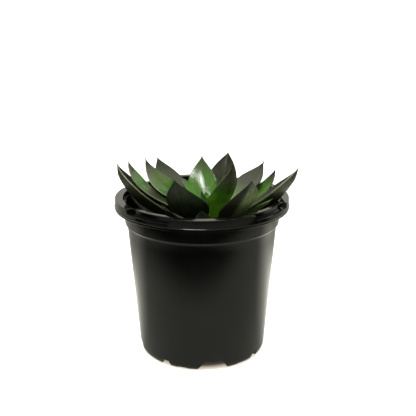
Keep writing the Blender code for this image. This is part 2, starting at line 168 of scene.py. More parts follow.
# A leaf's section and length are cut finer here than in the solid. Its thickness swells
# over a share of the length and thins towards the tip, and a narrow stretch is slim too.
# The fold deepens from the root, and the margins wave a little.
FACE_POINTS = 23
LEAF_RINGS = 56
LEAF_EDGE = 0.7 * MM
MIDRIB_ROUNDING = 0.2
ROOT_THICKNESS = 0.62
SWELL_END = 0.8
TIP_THINNING = 0.62
TIP_START = 0.45
TIP_CURVE = 1.5
SLIMMEST = 0.15
SLIM_SLOPE = 1.6
ROOT_FOLD = 0.35
FOLD_SLOPE = 1.6
MARGIN_WAVE = 0.22 * MM
MARGIN_WAVE_TURN = 9.0
MARGIN_WAVE_SHIFT = 1.3
LEAF_WAVE_STEP = 1.7
YOUNG_WAVE_STEP = 1.3
TIP_WIDTH = 0.04
TIP_CAP = 0.35 * MM
TIP_CAP_WIDTH = 0.5
ROOT_OVERLAP = 2.4 * MM

# Angles are in degrees and lengths in millimetres, as in the solids.
Leaf = namedtuple("Leaf", "name azimuth turn rise tip_rise length width thick height"
                          " roll bend neck fold widest waist taper")
LARGE_LEAVES = [
    Leaf("leaf_far_left", -85.3, -7.5, 24.3, 86.4, 78, 24.3, 5.2, 98.7,
         7.7, 3.1, 5.5, 0.52, 0.72, 1.15, 1.13),
    Leaf("leaf_left", -90.8, -1.3, 22.8, 88.2, 69.6, 20.1, 3.8, 105.0,
         -4.8, 2.7, 5.5, 0.20, 0.74, 1.15, 1.21),
    Leaf("leaf_left_back", -117.3, -2.3, 18.4, 77, 62.1, 25.3, 3.6, 108.8,
         -3.6, 2.3, 5.5, 0.28, 0.50, 1.15, 1.25),
    Leaf("leaf_back_left", -145, 8, 22.5, 64, 69.5, 24, 4.2, 101.0,
         0, 3.0, 5.5, 0.22, 0.66, 1.15, 1.12),
    Leaf("leaf_inner_left", -104, 0, 46, 64, 26, 15, 3.0, 113.5,
         0, 2.0, 5.0, 0.26, 0.56, 1.0, 1.12),
    Leaf("leaf_front_left", -32.5, -3.5, 33.5, 78, 52.5, 30.6, 4.6, 102.6,
         23, 1.8, 11.0, 0.26, 0.40, 0.9, 1.03),
    Leaf("leaf_center_back", -166.5, -17, 42.4, 69, 46, 22.4, 4.4, 106.8,
         -12, 1.6, 6.0, 0.24, 0.50, 0.8, 1.26),
    Leaf("leaf_back_right", 165.3, -5, 28, 58.7, 64, 24.2, 4.2, 100.6,
         5.5, 1.5, 6.0, 0.22, 0.56, 1.15, 1.0),
    Leaf("leaf_front_center", 45.7, -33, 57, 67.5, 48.4, 26.4, 4.6, 108.4,
         15.5, 3.1, 15.9, 0.25, 0.37, 0.9, 1.57),
    Leaf("leaf_right_back", 131, 0.4, 22.8, 55.7, 60.3, 22.3, 4.0, 107.1,
         3.3, 2.9, 5.5, 0.22, 0.64, 1.15, 1.47),
    Leaf("leaf_right_small", 115, 0, 18.5, 73, 61, 17.1, 3.6, 102.0,
         0, 2.5, 5.0, 0.26, 0.60, 1.15, 1.03),
    Leaf("leaf_far_right", 86.3, -9.2, 25.7, 71.6, 74.5, 20.3, 6.1, 99.9,
         -3, 2.8, 6.4, 0.59, 0.65, 1.27, 1.06),
    Leaf("leaf_front_right", 42, -4.4, 27.5, 83.4, 57.2, 33, 5.0, 101.4,
         3.4, 1.9, 7.8, 0.24, 0.56, 0.98, 1.08),
]
LOW_LEAVES = [
    Leaf("leaf_low_right", 65, 0, 26.3, 42.6, 50.2, 10.8, 3.0, 97.1,
         -17, 1.5, 4.5, 0.26, 0.73, 1.15, 1.12),
    Leaf("leaf_low_front", -6, 0, 26, 48, 41, 13, 3.2, 98.0,
         0, 1.5, 5.0, 0.28, 0.56, 1.15, 1.12),
    Leaf("leaf_low_left", -90, 0, 9, 66, 59, 16, 3.6, 96.6,
         0, 2.0, 5.0, 0.28, 0.60, 1.15, 1.12),
    Leaf("leaf_low_back", -170, 0, 12, 46, 50, 19, 3.8, 97.5,
         0, 2.0, 5.0, 0.26, 0.60, 1.15, 1.12),
    Leaf("leaf_low_front_right", 29, 0, 8, 34, 42, 13, 3.2, 97.0,
         0, 2.0, 5.0, 0.26, 0.60, 1.15, 1.12),
    Leaf("leaf_low_back_left", -124, 0, 6, 28, 46, 16, 3.4, 97.0,
         0, 2.0, 5.0, 0.26, 0.60, 1.15, 1.12),
    Leaf("leaf_low_back_right", 140, 0, 8, 40, 44, 16, 3.4, 97.0,
         0, 2.0, 5.0, 0.26, 0.60, 1.15, 1.12),
]
DRY_LEAVES = [
    Leaf("leaf_dry_front_left", -53, 0, 21, 60, 41, 12, 3.0, 96.8,
         0, 1.5, 4.5, 0.28, 0.60, 1.15, 1.12),
]
BUD_LEAVES = [
    Leaf("young_1", 75, 0, 66, 80, 27, 10, 3.0, 113.6, 0, 1.5, 5.0, 0.34, 0.50, 0.9, 1.12),
    Leaf("young_2", 122, 0, 64, 80, 21, 9, 3.0, 113.6, 0, 1.5, 5.0, 0.34, 0.50, 0.9, 1.12),
    Leaf("young_3", -50, 0, 66, 80, 12, 6, 2.6, 113.6, 0, 1.5, 4.5, 0.34, 0.50, 0.9, 1.12),
    Leaf("young_4", -165, 0, 58, 80, 9, 6, 2.6, 113.6, 0, 1.5, 4.5, 0.34, 0.50, 0.9, 1.12),
    Leaf("young_5", 10, 0, 62, 80, 8, 6, 2.4, 113.8, 0, 1.5, 4.0, 0.34, 0.50, 0.9, 1.12),
]
BUD_ROOT_RADIUS = 2.2 * MM
BUD_PROFILE = [(0.3, 4.2), (1.4, 4.4), (3.2, 3.8), (4.8, 2.6), (5.8, 1.2)]

# Linear colours of the leaf skin.
LIME = (0.420, 0.860, 0.060)
FRESH = (0.180, 0.480, 0.020)
BRIGHT = (0.110, 0.320, 0.024)
LEAFY = (0.060, 0.220, 0.018)
MOSS = (0.028, 0.085, 0.010)
DEEP = (0.010, 0.030, 0.004)
OLIVE = (0.050, 0.056, 0.026)
UMBER = (0.075, 0.074, 0.048)
DUSKY = (0.026, 0.026, 0.016)
DARK = (0.008, 0.008, 0.006)
SAGE = (0.130, 0.170, 0.080)
PALE = (0.330, 0.360, 0.220)
DRIED = (0.030, 0.028, 0.015)
STRAW = (0.260, 0.230, 0.150)

# How a leaf looks: colours along the upper face and along the underside, each with its
# share of the length, then a band on each margin as colour, amount and where it starts
# across the half width, then the amounts of the pale midrib band and of the waxy film, the
# range of the roughness and how strongly the skin mirrors. A few bands, noted at their
# leaves, are painted highlight, and one is painted shade.
Look = namedtuple("Look", "upper under left right rib film rough shine")
NO_BAND = (DARK, 0.0, 0.90)
THIN_BAND = (DARK, 0.7, 0.93)
PALE_LINE = (PALE, 0.8, 0.94)
DRY_SKIN = [(0.0, DRIED), (0.85, DRIED), (0.96, STRAW), (1.0, STRAW)]
PLAIN_LOOK = Look([(0.0, LEAFY), (0.3, MOSS), (0.6, OLIVE), (1.0, DARK)],
                  [(0.0, MOSS), (0.4, DEEP), (0.7, DUSKY), (1.0, DARK)],
                  THIN_BAND, THIN_BAND, 0.10, 0.05, (0.30, 0.46), 0.35)
LOOKS = {
    "leaf_far_left": PLAIN_LOOK._replace(
        upper=[(0.0, DEEP), (0.4, DUSKY), (1.0, DARK)],
        under=[(0.0, DEEP), (0.4, (0.012, 0.042, 0.005)), (0.6, (0.036, 0.042, 0.018)),
               (0.8, DUSKY), (1.0, DARK)],
        left=NO_BAND, right=PALE_LINE, shine=0.12),
    "leaf_left": PLAIN_LOOK._replace(
        upper=[(0.0, DEEP), (0.3, (0.024, 0.066, 0.006)), (0.45, (0.042, 0.050, 0.020)),
               (0.62, (0.066, 0.066, 0.038)), (0.72, LEAFY), (0.86, SAGE), (0.93, DARK)],
        right=PALE_LINE, shine=0.25),
    # Its strong pale midrib band and its pale right margin are painted highlight.
    "leaf_left_back": PLAIN_LOOK._replace(
        upper=[(0.0, DEEP), (0.3, (0.022, 0.090, 0.006)), (0.5, (0.042, 0.140, 0.010)),
               (0.68, (0.115, 0.175, 0.055)), (0.82, (0.125, 0.140, 0.080)), (0.95, DARK)],
        right=PALE_LINE, rib=0.5, rough=(0.22, 0.34), shine=0.15),
    "leaf_back_left": PLAIN_LOOK._replace(
        upper=[(0.0, LEAFY), (0.35, OLIVE), (0.6, UMBER), (0.9, OLIVE), (1.0, DARK)],
        rough=(0.42, 0.55), shine=0.5),
    "leaf_inner_left": PLAIN_LOOK._replace(
        upper=[(0.0, (0.085, 0.270, 0.018)), (0.6, (0.085, 0.250, 0.018)), (0.9, SAGE),
               (1.0, DARK)],
        right=(SAGE, 0.5, 0.6)),
    "leaf_front_left": PLAIN_LOOK._replace(
        under=[(0.0, (0.004, 0.016, 0.002)), (0.4, (0.005, 0.016, 0.002)),
               (0.65, (0.024, 0.038, 0.013)), (0.88, (0.032, 0.036, 0.020)), (1.0, DARK)],
        rough=(0.36, 0.50)),
    # Its pale midrib band is painted highlight, whitening the middle of its glare.
    "leaf_center_back": PLAIN_LOOK._replace(
        upper=[(0.0, LEAFY), (0.25, (0.058, 0.190, 0.014)), (0.6, (0.090, 0.210, 0.028)),
               (0.88, (0.090, 0.125, 0.050)), (1.0, DARK)],
        rib=0.3, film=0.08, rough=(0.08, 0.14), shine=0.6),
    "leaf_back_right": PLAIN_LOOK._replace(
        upper=[(0.0, MOSS), (0.3, (0.024, 0.027, 0.010)), (1.0, (0.028, 0.031, 0.012))],
        rough=(0.40, 0.55), shine=0.12),
    # The vivid lime towards its root is partly the leaf's own fresh green and partly painted
    # light shining through the leaf.
    "leaf_front_center": PLAIN_LOOK._replace(
        under=[(0.0, (0.600, 0.950, 0.070)), (0.2, LIME), (0.36, (0.200, 0.560, 0.022)),
               (0.5, (0.056, 0.165, 0.008)), (0.72, (0.050, 0.054, 0.026)), (1.0, DARK)],
        left=(SAGE, 0.5, 0.93), rough=(0.26, 0.40), shine=0.4),
    "leaf_right_back": PLAIN_LOOK._replace(
        upper=[(0.0, BRIGHT), (0.25, (0.210, 0.360, 0.080)), (0.42, SAGE), (0.62, UMBER),
               (0.9, OLIVE), (1.0, DARK)],
        rough=(0.42, 0.55), shine=0.5),
    "leaf_right_small": PLAIN_LOOK._replace(
        upper=[(0.0, MOSS), (0.4, (0.055, 0.150, 0.012)), (0.75, (0.080, 0.190, 0.020)),
               (0.92, OLIVE), (1.0, DARK)]),
    "leaf_far_right": PLAIN_LOOK._replace(
        upper=[(0.0, MOSS), (0.4, OLIVE), (0.7, DUSKY), (1.0, DARK)],
        under=[(0.0, DEEP), (0.5, (0.030, 0.038, 0.014)), (0.75, (0.062, 0.066, 0.038)),
               (0.95, DUSKY), (1.0, DARK)],
        left=PALE_LINE, shine=0.2),
    # The wide dark band over most of its left half is painted shade.
    "leaf_front_right": PLAIN_LOOK._replace(
        under=[(0.0, DEEP), (0.14, (0.120, 0.160, 0.050)), (0.32, (0.300, 0.380, 0.140)),
               (0.7, (0.250, 0.310, 0.125)), (0.9, (0.080, 0.100, 0.044)), (1.0, DARK)],
        left=(DARK, 0.9, 0.30), right=(SAGE, 0.5, 0.85), rough=(0.34, 0.46)),
    "leaf_low_right": PLAIN_LOOK._replace(
        upper=[(0.0, FRESH), (0.6, (0.220, 0.400, 0.080)), (1.0, (0.240, 0.300, 0.130))],
        under=[(0.0, LIME), (0.6, (0.420, 0.700, 0.150)), (1.0, (0.420, 0.500, 0.220))],
        left=(SAGE, 0.6, 0.85), right=(SAGE, 0.6, 0.85)),
    "leaf_low_front": PLAIN_LOOK._replace(
        under=[(0.0, PALE), (0.5, (0.420, 0.480, 0.300)), (0.8, (0.220, 0.260, 0.150)),
               (1.0, OLIVE)]),
    "leaf_low_left": PLAIN_LOOK._replace(
        upper=[(0.0, MOSS), (1.0, DUSKY)], under=[(0.0, MOSS), (1.0, DUSKY)], film=0.0,
        shine=0.2),
    "leaf_dry_front_left": PLAIN_LOOK._replace(
        upper=DRY_SKIN, under=DRY_SKIN, left=NO_BAND, right=NO_BAND, film=0.0,
        rough=(0.60, 0.80), shine=0.2),
    "crown_bud": PLAIN_LOOK._replace(
        upper=[(0.0, BRIGHT), (0.7, BRIGHT), (1.0, DARK)],
        under=[(0.0, BRIGHT), (0.5, (0.070, 0.240, 0.015)), (0.9, OLIVE), (1.0, DARK)]),
}


def direction(azimuth, rise=0.0):
    """Unit vector for an azimuth and a rise, both in radians."""
    level = cos(rise)
    return Vector((sin(azimuth) * level, -cos(azimuth) * level, sin(rise)))


def interpolate(points, x):
    """Piecewise linear value at x of a list of (x, value)."""
    if x <= points[0][0]:
        return points[0][1]
    for (x0, y0), (x1, y1) in zip(points, points[1:]):
        if x <= x1:
            return y0 + (y1 - y0) * (x - x0) / (x1 - x0)
    return points[-1][1]


def smooth(x):
    """Soft step from 0 to 1 as x goes from 0 to 1."""
    x = min(max(x, 0.0), 1.0)
    return x * x * (3 - 2 * x)


class Nodes:
    """Builds a material's nodes with short calls."""

    def __init__(self, tree):
        self.tree = tree

    def feed(self, socket, value):
        """Link another node's output to a socket, or give the socket a plain value."""
        if isinstance(value, bpy.types.NodeSocket):
            self.tree.links.new(value, socket)
        else:
            socket.default_value = value

    def surface(self, name, value):
        """Feed a socket of the main shader."""
        self.feed(self.tree.nodes["Principled BSDF"].inputs[name], value)

    def add(self, kind, settings=None, inputs=None):
        node = self.tree.nodes.new(kind)
        for name, value in (settings or {}).items():
            setattr(node, name, value)
        for name, value in (inputs or {}).items():
            self.feed(node.inputs[name], value)
        return node

    def math(self, operation, *values):
        inputs = dict(enumerate(values))
        return self.add("ShaderNodeMath", {"operation": operation}, inputs).outputs[0]

    def remap(self, value, low, high, to_low=0.0, to_high=1.0):
        inputs = {0: value, 1: low, 2: high, 3: to_low, 4: to_high}
        settings = {"interpolation_type": "SMOOTHSTEP"}
        return self.add("ShaderNodeMapRange", settings, inputs).outputs[0]

    def mix(self, share, first, second, blend="MIX"):
        """Two colours mixed. A plain colour is a tuple of three numbers."""
        settings = {"data_type": "RGBA", "blend_type": blend}
        node = self.add("ShaderNodeMix", settings, {0: share})
        for index, colour in ((6, first), (7, second)):
            if isinstance(colour, tuple):
                colour = (*colour, 1.0)
            self.feed(node.inputs[index], colour)
        return node.outputs[2]

    def ramp(self, value, stops):
        node = self.add("ShaderNodeValToRGB", None, {"Fac": value})
        elements = node.color_ramp.elements
        while len(elements) < len(stops):
            elements.new(1.0)
        for element, (place, colour) in zip(elements, stops):
            element.position = place
            element.color = (*colour, 1.0)
        return node.outputs[0]

    def attribute(self, name):
        return self.add("ShaderNodeAttribute", {"attribute_name": name}).outputs["Fac"]

    def position(self):
        return self.add("ShaderNodeTexCoord").outputs["Object"]

    def noise(self, vector, scale, detail, roughness):
        inputs = {"Vector": vector, "Scale": scale, "Detail": detail, "Roughness": roughness}
        return self.add("ShaderNodeTexNoise", None, inputs).outputs["Fac"]

    def combine(self, x, y, z):
        return self.add("ShaderNodeCombineXYZ", None, {0: x, 1: y, 2: z}).outputs[0]

    def bump(self, height, strength, distance, normal=None):
        inputs = {"Height": height, "Strength": strength, "Distance": distance}
        if normal is not None:
            inputs["Normal"] = normal
        return self.add("ShaderNodeBump", None, inputs).outputs[0]


def new_material(name, fixed):
    """A material whose shader has the given fixed values, and its node builder."""
    material = bpy.data.materials.new(name)
    material.use_nodes = True
    nodes = Nodes(material.node_tree)
    for socket, value in fixed.items():
        nodes.surface(socket, value)
    return material, nodes


# A pattern is a noise's scale, detail and roughness. A range is its low and high end, then
# what they become where that is fixed, and a bump is a strength and a distance.
SKIN = {"Coat Weight": 0.06, "Coat Roughness": 0.16, "Subsurface Weight": 0.10,
        "Subsurface Radius": (0.5, 1.0, 0.25), "Subsurface Scale": 2.0 * MM}
STREAKS_ACROSS = 13.0
STREAKS_ALONG = 1.6
STREAK_PATTERN = (1.6, 5.0, 0.6)
STREAK_RANGE = (0.35, 0.70, 0.0, 0.7)
STREAK_SHADE = (0.45, 0.55, 0.45)
STREAK_BUMP = (0.22, 0.5 * MM)
BLOTCH_PATTERN = (130.0, 4.0, 0.55)
BLOTCH_SHIFT_RANGE = (0.3, 0.7, -0.06, 0.06)
BLOTCH_FILM_RANGE = (0.4, 0.7)
BAND_SOFTNESS = 0.4
MIDRIB_WIDTH = 0.10
SHEEN_PATTERN = (420.0, 3.0, 0.5)
SHEEN_RANGE = (0.3, 0.7)
SKIN_GRAIN_PATTERN = (2600.0, 2.0, 0.5)
SKIN_GRAIN_BUMP = (0.10, 0.1 * MM)
LEAF_SEED_STEP = 3.1
DRY_LEAF_START = 40
BUD_SEED = 77.0


def leaf_material(name, look, seed):
    """Waxy skin: green at the root, dusky towards the tip, streaked along the leaf."""
    material, nodes = new_material(name, {**SKIN, "Specular IOR Level": look.shine})
    across = nodes.attribute("across")
    along = nodes.attribute("along")
    away = nodes.math("ABSOLUTE", across)
    place = nodes.position()
    streak_place = nodes.combine(nodes.math("MULTIPLY", across, STREAKS_ACROSS),
                                 nodes.math("MULTIPLY", along, STREAKS_ALONG), seed)
    streaks = nodes.noise(streak_place, *STREAK_PATTERN)
    blotches = nodes.noise(place, *BLOTCH_PATTERN)
    shifted = nodes.math("ADD", along, nodes.remap(blotches, *BLOTCH_SHIFT_RANGE))
    colour = nodes.mix(nodes.attribute("under"), nodes.ramp(shifted, look.upper),
                       nodes.ramp(shifted, look.under))
    # Bands along the margins: a wide dark one on one leaf is painted shade, and a pale one on
    # another is painted highlight.
    for side, (band, amount, start) in ((-1.0, look.left), (1.0, look.right)):
        toward = nodes.math("MULTIPLY", across, side)
        full = start + (1 - start) * BAND_SOFTNESS
        colour = nodes.mix(nodes.remap(toward, start, full, 0.0, amount), colour, band)
    shaded = nodes.mix(1.0, colour, STREAK_SHADE, "MULTIPLY")
    colour = nodes.mix(nodes.remap(streaks, *STREAK_RANGE), colour, shaded)
    # The pale band along the midrib; on some leaves it is painted highlight.
    colour = nodes.mix(nodes.remap(away, 0.0, MIDRIB_WIDTH, look.rib, 0.0), colour, SAGE)
    film = nodes.remap(blotches, *BLOTCH_FILM_RANGE, 0.0, look.film)
    nodes.surface("Base Color", nodes.mix(film, colour, PALE))
    sheen = nodes.noise(place, *SHEEN_PATTERN)
    nodes.surface("Roughness", nodes.remap(sheen, *SHEEN_RANGE, *look.rough))
    grain = nodes.bump(nodes.noise(place, *SKIN_GRAIN_PATTERN), *SKIN_GRAIN_BUMP)
    nodes.surface("Normal", nodes.bump(streaks, *STREAK_BUMP, grain))
    return material


POT_BLACK = (0.0012, 0.0013, 0.0010)
DUST = (0.16, 0.15, 0.13)
CLOUD_PATTERN = (38.0, 5.0, 0.6)
CLOUD_FILM_RANGE = (0.45, 0.75)
CLOUD_FILM_AMOUNT = 0.008
CLOUD_ROUGHNESS_RANGE = (0.3, 0.75, 0.09, 0.16)
SPECK_PATTERN = (900.0, 2.0, 0.5)
SPECK_RANGE = (0.68, 0.80)
SPECK_AMOUNT = 0.12
POT_GRAIN_PATTERN = (1500.0, 3.0, 0.6)
POT_GRAIN_BUMP = (0.08, 0.1 * MM)


def pot_material():
    """Black moulded plastic, fine grained, with faint dust and water marks."""
    material, nodes = new_material("black_plastic", {})
    place = nodes.position()
    cloud = nodes.noise(place, *CLOUD_PATTERN)
    specks = nodes.noise(place, *SPECK_PATTERN)
    dust = nodes.math("MULTIPLY", nodes.remap(specks, *SPECK_RANGE), SPECK_AMOUNT)
    film = nodes.math("MULTIPLY", nodes.remap(cloud, *CLOUD_FILM_RANGE), CLOUD_FILM_AMOUNT)
    colour = nodes.mix(nodes.math("ADD", dust, film), POT_BLACK, DUST)
    nodes.surface("Base Color", colour)
    nodes.surface("Roughness", nodes.remap(cloud, *CLOUD_ROUGHNESS_RANGE))
    grain = nodes.noise(place, *POT_GRAIN_PATTERN)
    nodes.surface("Normal", nodes.bump(grain, *POT_GRAIN_BUMP))
    return material


CLUMP_PATTERN = (210.0, 5.0, 0.65)
CLUMP_COLOURS = [(0.25, (0.006, 0.004, 0.003)), (0.5, (0.022, 0.014, 0.009)),
                 (0.8, (0.060, 0.040, 0.026))]
PALE_GRAIN = (0.42, 0.39, 0.34)
PALE_GRAIN_RANGE = (0.5, 1.0)
SOIL_GRAIN_PATTERN = (1400.0, 4.0, 0.7)
SOIL_GRAIN_BUMP = (0.6, 0.3 * MM)


def soil_material():
    """Peat and bark crumbs, dark and matte, with a few pale grains."""
    material, nodes = new_material("potting_mix", {"Roughness": 0.95})
    place = nodes.position()
    clumps = nodes.ramp(nodes.noise(place, *CLUMP_PATTERN), CLUMP_COLOURS)
    pale = nodes.remap(nodes.attribute("tint"), *PALE_GRAIN_RANGE)
    nodes.surface("Base Color", nodes.mix(pale, clumps, PALE_GRAIN))
    grain = nodes.noise(place, *SOIL_GRAIN_PATTERN)
    nodes.surface("Normal", nodes.bump(grain, *SOIL_GRAIN_BUMP))
    return material


BARK_PATTERN = (260.0, 4.0, 0.6)
BARK_COLOURS = [(0.3, (0.035, 0.026, 0.014)), (0.55, (0.095, 0.080, 0.040)),
                (0.8, (0.150, 0.140, 0.075))]
BARK_BUMP = (0.5, 0.4 * MM)


def stem_material():
    """Patchy green-brown bark."""
    material, nodes = new_material("stem_bark", {"Roughness": 0.7})
    patches = nodes.noise(nodes.position(), *BARK_PATTERN)
    nodes.surface("Base Color", nodes.ramp(patches, BARK_COLOURS))
    nodes.surface("Normal", nodes.bump(patches, *BARK_BUMP))
    return material


def mesh_from(name, bm):
    """A mesh with the shape of a bmesh, which is then freed."""
    mesh = bpy.data.meshes.new(name)
    bm.to_mesh(mesh)
    bm.free()
    return mesh


def new_object(name, data):
    """An object of the scene with the given mesh, light or camera."""
    made = bpy.data.objects.new(name, data)
    bpy.context.scene.collection.objects.link(made)
    return made


def join_rings(bm, rings):
    """Faces from each ring of vertices to the next, and one across each end."""
    count = len(rings[0])
    for lower, upper in zip(rings, rings[1:]):
        for index in range(count):
            after = (index + 1) % count
            bm.faces.new((lower[index], lower[after], upper[after], upper[index]))
    bm.faces.new(rings[0])
    bm.faces.new(rings[-1])


# Edges that turn by more degrees than this are shaded sharp.
POT_SHARP_ANGLE = 32.0
STEM_SHARP_ANGLE = 40.0
SOFT_SHARP_ANGLE = 60.0


def add_piece(name, bm, material, node, sharp_angle=SOFT_SHARP_ANGLE):
    """A finished piece that stands for a CAD node and rides on the one body."""
    bmesh.ops.recalc_face_normals(bm, faces=bm.faces)
    mesh = mesh_from(name, bm)
    mesh.shade_smooth()
    mesh.set_sharp_from_angle(angle=radians(sharp_angle))
    mesh.materials.append(material)
    piece = new_object(name, mesh)
    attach(piece, BODY)
    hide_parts(node)
    return piece


def outer_radius(z):
    """Outer radius of the wall, or of the foot's quarter ellipse below it."""
    if z < FOOT_HEIGHT:
        fall = (FOOT_HEIGHT - z) / FOOT_HEIGHT
        return FOOT_RADIUS + (FOOT_WALL_RADIUS - FOOT_RADIUS) * sqrt(max(0.0, 1 - fall * fall))
    step_z = POT_HEIGHT - COLLAR_DROP
    return interpolate([(FOOT_HEIGHT, FOOT_WALL_RADIUS), (step_z, STEP_RADIUS)], z)


def under_radius(z):
    """Inner radius of the foot, under the pot's floor."""
    low = FOOT_RADIUS - FOOT_THICKNESS
    high = FOOT_WALL_RADIUS - FOOT_THICKNESS
    top = outer_radius(FLOOR_HEIGHT) - FOOT_THICKNESS
    return interpolate([(0.0, low), (FOOT_HEIGHT, high), (FLOOR_HEIGHT, top)], z)


def turned_away(azimuth, centre):
    """Smallest angle in degrees between two azimuths."""
    return abs((azimuth - centre + 180.0) % 360.0 - 180.0)


def notch_height(azimuth):
    """Height of the foot's lower edge at an azimuth."""
    kinds = [
        (LARGE_NOTCH_AZIMUTH, LARGE_NOTCH),
        (MEDIUM_NOTCH_AZIMUTH, MEDIUM_NOTCH),
        (LARGE_NOTCH_AZIMUTH - SHALLOW_NOTCH_OFFSET, SHALLOW_NOTCH),
        (LARGE_NOTCH_AZIMUTH + SHALLOW_NOTCH_OFFSET, SHALLOW_NOTCH),
    ]
    height = 0.0
    for turn in QUARTERS:
        for centre, (bottom_arc, top_arc, full) in kinds:
            away = turned_away(azimuth, centre + turn)
            share = (bottom_arc / 2 - away) / (bottom_arc / 2 - top_arc / 2)
            height = max(height, full * min(max(share, 0.0), 1.0))
    return height


def recess_share(azimuth):
    """1 within a stacking recess of the rim, 0 outside it."""
    share = 0.0
    for turn in QUARTERS:
        away = turned_away(azimuth, RECESS_AZIMUTH + turn)
        share = max(share, smooth((RECESS_ARC / 2 - away) / RECESS_END + 0.5))
    return share


def rounded(points, radius, steps=3):
    """An open outline with each inner corner replaced by a small curve."""
    made = [points[0]]
    for before, corner, after in zip(points, points[1:], points[2:]):
        middle = Vector(corner)
        back = Vector(before) - middle
        ahead = Vector(after) - middle
        reach = min(radius, back.length * ROUNDED_SHARE, ahead.length * ROUNDED_SHARE)
        start = middle + back.normalized() * reach
        end = middle + ahead.normalized() * reach
        for step in range(steps + 1):
            t = step / steps
            spot = start * (1 - t) ** 2 + middle * 2 * t * (1 - t) + end * t * t
            made.append(tuple(spot))
    made.append(points[-1])
    return made


def rim_outline(recess):
    """The rim's section from the inner wall over the lip to the groove under the skirt."""
    top = POT_HEIGHT
    skirt_z = top - SKIRT_HEIGHT
    bead_z = skirt_z + BEAD_HEIGHT
    skirt_radius = RIM_RADIUS + SKIRT_FLARE
    inner = RIM_INNER_RADIUS - BULGE_WIDTH * recess
    wall = RIM_RADIUS - RECESS_WIDTH
    ledge = top - RECESS_DEPTH

    def between(plain, cut):
        return tuple(a + (b - a) * recess for a, b in zip(plain, cut))

    return [
        (RIM_INNER_RADIUS, top - BULGE_DEPTH - BULGE_SLOPE),
        (inner, top - BULGE_DEPTH),
        (inner, top),
        between((wall - LIP_WALL_INSET, top), (wall, top)),
        between((RIM_RADIUS - LIP_INSET, top), (wall, ledge)),
        between((RIM_RADIUS, top), (RIM_RADIUS, ledge)),
        (skirt_radius - SKIRT_FLARE / 3, bead_z + BEAD_SIZE),
        (skirt_radius + BEAD_SIZE, bead_z),
        (skirt_radius, bead_z - BEAD_SIZE),
        (skirt_radius, skirt_z),
        (skirt_radius - SKIRT_THICKNESS, skirt_z),
        (skirt_radius - SKIRT_THICKNESS, skirt_z + GROOVE_DEPTH),
        (COLLAR_TOP_RADIUS, skirt_z + GROOVE_DEPTH),
    ]


def pot_outline(azimuth):
    """The pot's section at an azimuth, as (radius, z), with the same count of points at each."""
    recess = recess_share(azimuth)
    notch = notch_height(azimuth)
    floor_z = FLOOR_HEIGHT + FLOOR_THICKNESS
    step_z = POT_HEIGHT - COLLAR_DROP
    skirt_z = POT_HEIGHT - SKIRT_HEIGHT
    inside = rounded([
        (AXIS_RADIUS, floor_z),
        (outer_radius(floor_z) - WALL_THICKNESS - FLOOR_CORNER, floor_z),
        (outer_radius(floor_z) - WALL_THICKNESS, floor_z + FLOOR_CORNER),
        (STEP_RADIUS - WALL_THICKNESS, step_z - STEP_HEIGHT),
        (COLLAR_RADIUS - WALL_THICKNESS, step_z + STEP_HEIGHT),
        (COLLAR_TOP_RADIUS - WALL_THICKNESS, skirt_z + GROOVE_DEPTH),
        (RIM_INNER_RADIUS, POT_HEIGHT - BULGE_DEPTH - BULGE_SLOPE),
    ], INSIDE_ROUNDING, steps=2)[:-1]
    rim = rounded(rim_outline(recess), RIM_EDGE_ROUNDING)
    collar = rounded([
        (COLLAR_TOP_RADIUS, skirt_z + GROOVE_DEPTH),
        (COLLAR_RADIUS, step_z),
        (STEP_RADIUS, step_z - STEP_HEIGHT),
        (outer_radius(step_z / 2), step_z / 2),
    ], COLLAR_ROUNDING)[1:-1]
    wall_top = step_z - 2 * STEP_HEIGHT
    wall_end = FOOT_HEIGHT + FOOT_ZONE
    wall = []
    for row in range(WALL_ROWS):
        z = wall_top + (wall_end - wall_top) * row / WALL_ROWS
        wall.append((outer_radius(z), z))
    foot = []
    for row in range(WALL_ROWS + 1):
        z = max(wall_end * (1 - row / WALL_ROWS) ** FOOT_CROWDING, notch)
        foot.append((outer_radius(z), z))
    under = []
    for height in UNDER_HEIGHTS + [FLOOR_HEIGHT - UNDER_CORNER]:
        z = max(height, notch)
        under.append((under_radius(z), z))
    under.append((under_radius(FLOOR_HEIGHT) - UNDER_CORNER, FLOOR_HEIGHT))
    under.append((AXIS_RADIUS, FLOOR_HEIGHT))
    return inside + rim + collar + wall + foot + under


def pot_body():
    """The pot as a grid of quads round the axis."""
    bm = bmesh.new()
    columns = []
    for step in range(POT_STEPS):
        azimuth = 360.0 * step / POT_STEPS
        out = direction(radians(azimuth))
        column = []
        for radius, z in pot_outline(azimuth):
            column.append(bm.verts.new((POT_X + out.x * radius, out.y * radius, z)))
        columns.append(column)
    for left, right in zip(columns, columns[1:] + columns[:1]):
        for row in range(len(left) - 1):
            bm.faces.new((left[row], right[row], right[row + 1], left[row + 1]))
    bm.faces.new([column[0] for column in columns])
    bm.faces.new([column[-1] for column in columns])
    bmesh.ops.remove_doubles(bm, verts=bm.verts, dist=MERGE_DISTANCE)
    bmesh.ops.dissolve_degenerate(bm, edges=bm.edges, dist=MERGE_DISTANCE)
    return bm


def drain_cutters():
    """Round cutters for the holes in the pot's floor."""
    bm = bmesh.new()
    middle = Vector((POT_X, 0.0, FLOOR_HEIGHT + FLOOR_THICKNESS / 2))
    spots = [middle]
    for index in range(DRAIN_COUNT):
        azimuth = radians(LARGE_NOTCH_AZIMUTH) + 2 * pi * index / DRAIN_COUNT
        spots.append(middle + direction(azimuth) * DRAIN_CIRCLE_RADIUS)
    for spot in spots:
        place = Matrix.Translation(spot)
        bmesh.ops.create_cone(bm, cap_ends=True, segments=DRAIN_STEPS, radius1=DRAIN_RADIUS,
                              radius2=DRAIN_RADIUS, depth=3 * FLOOR_THICKNESS, matrix=place)
    return new_object("drains", mesh_from("drains", bm))


